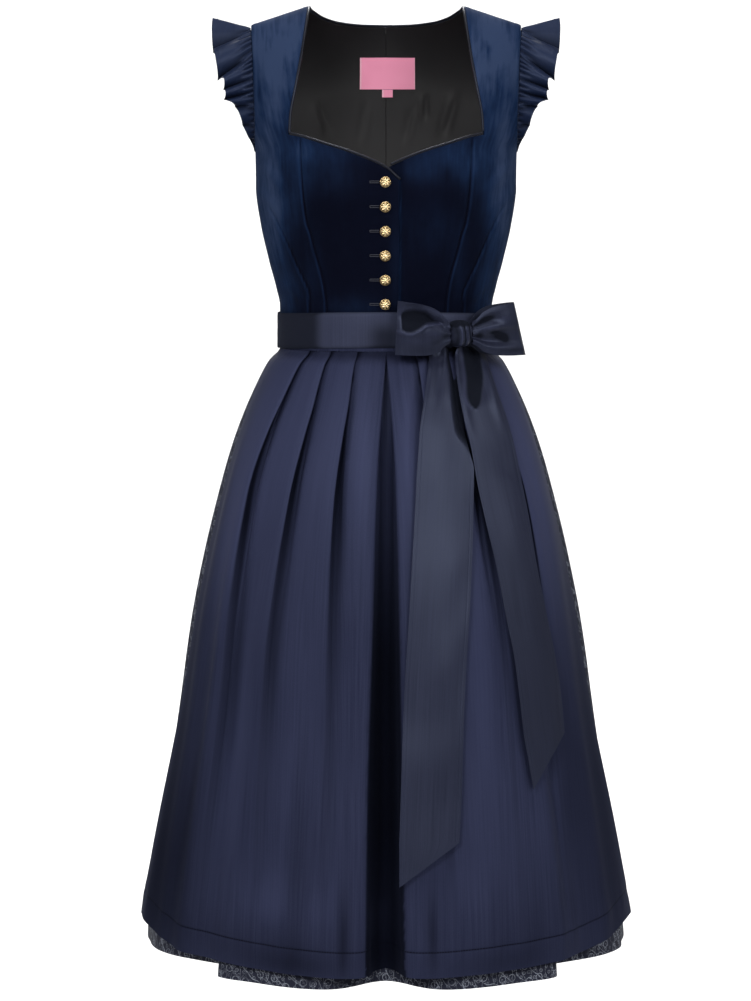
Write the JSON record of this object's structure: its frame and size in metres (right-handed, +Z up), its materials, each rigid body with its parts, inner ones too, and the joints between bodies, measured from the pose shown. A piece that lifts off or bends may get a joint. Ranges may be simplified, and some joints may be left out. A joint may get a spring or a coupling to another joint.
{
  "type": "dirndl",
  "caption": "Sleeveless dirndl, filled out and hollow: velvet bodice with sweetheart neck and ruffled armholes, buttoned front, pleated printed skirt, satin apron tied in a bow.",
  "frame": {"origin": "midway between the tops of the two shoulders, where the wearer's shoulders hold the dress", "axes": "+Z up, the front faces -Y, the wearer's right side is at -X"},
  "size_m": [0.5454, 0.4579, 1.0338],
  "materials": {
    "velvet": "pile velvet with a sheen, dark navy",
    "lining": "plain smooth lining, near black",
    "piping": "satin cord, charcoal",
    "ruffle_satin": "soft satin, navy",
    "print_cotton": "matt cotton, dark navy with a small pale vine print",
    "apron_satin": "satin with a soft sheen, slate navy",
    "ribbon_satin": "satin with a soft sheen, charcoal navy",
    "gold": "embossed, gold-coloured metal",
    "label_weave": "woven label, pink, bare"
  },
  "bodies": {
    "root": {"bodice_front_right": "velvet", "bodice_front_left": "velvet", "bodice_side_front_right": "velvet", "bodice_side_front_left": "velvet", "bodice_back_right": "velvet", "bodice_back_left": "velvet", "back_lining_right": "lining", "back_lining_left": "lining", "neckline_piping": "piping", "sleeve_ruffle_right": "ruffle_satin", "sleeve_ruffle_left": "ruffle_satin", "skirt_front": "print_cotton", "skirt_back": "print_cotton", "apron": "apron_satin", "apron_waistband": "apron_satin", "waist_tie": "ribbon_satin", "bow_loop_right": "ribbon_satin", "bow_loop_left": "ribbon_satin", "bow_knot": "ribbon_satin", "bow_tail_right": "ribbon_satin", "bow_tail_left": "ribbon_satin", "button_1": "gold", "button_2": "gold", "button_3": "gold", "button_4": "gold", "button_5": "gold", "button_6": "gold", "label": "label_weave", "label_tab": "label_weave"}
  },
  "joints": []
}
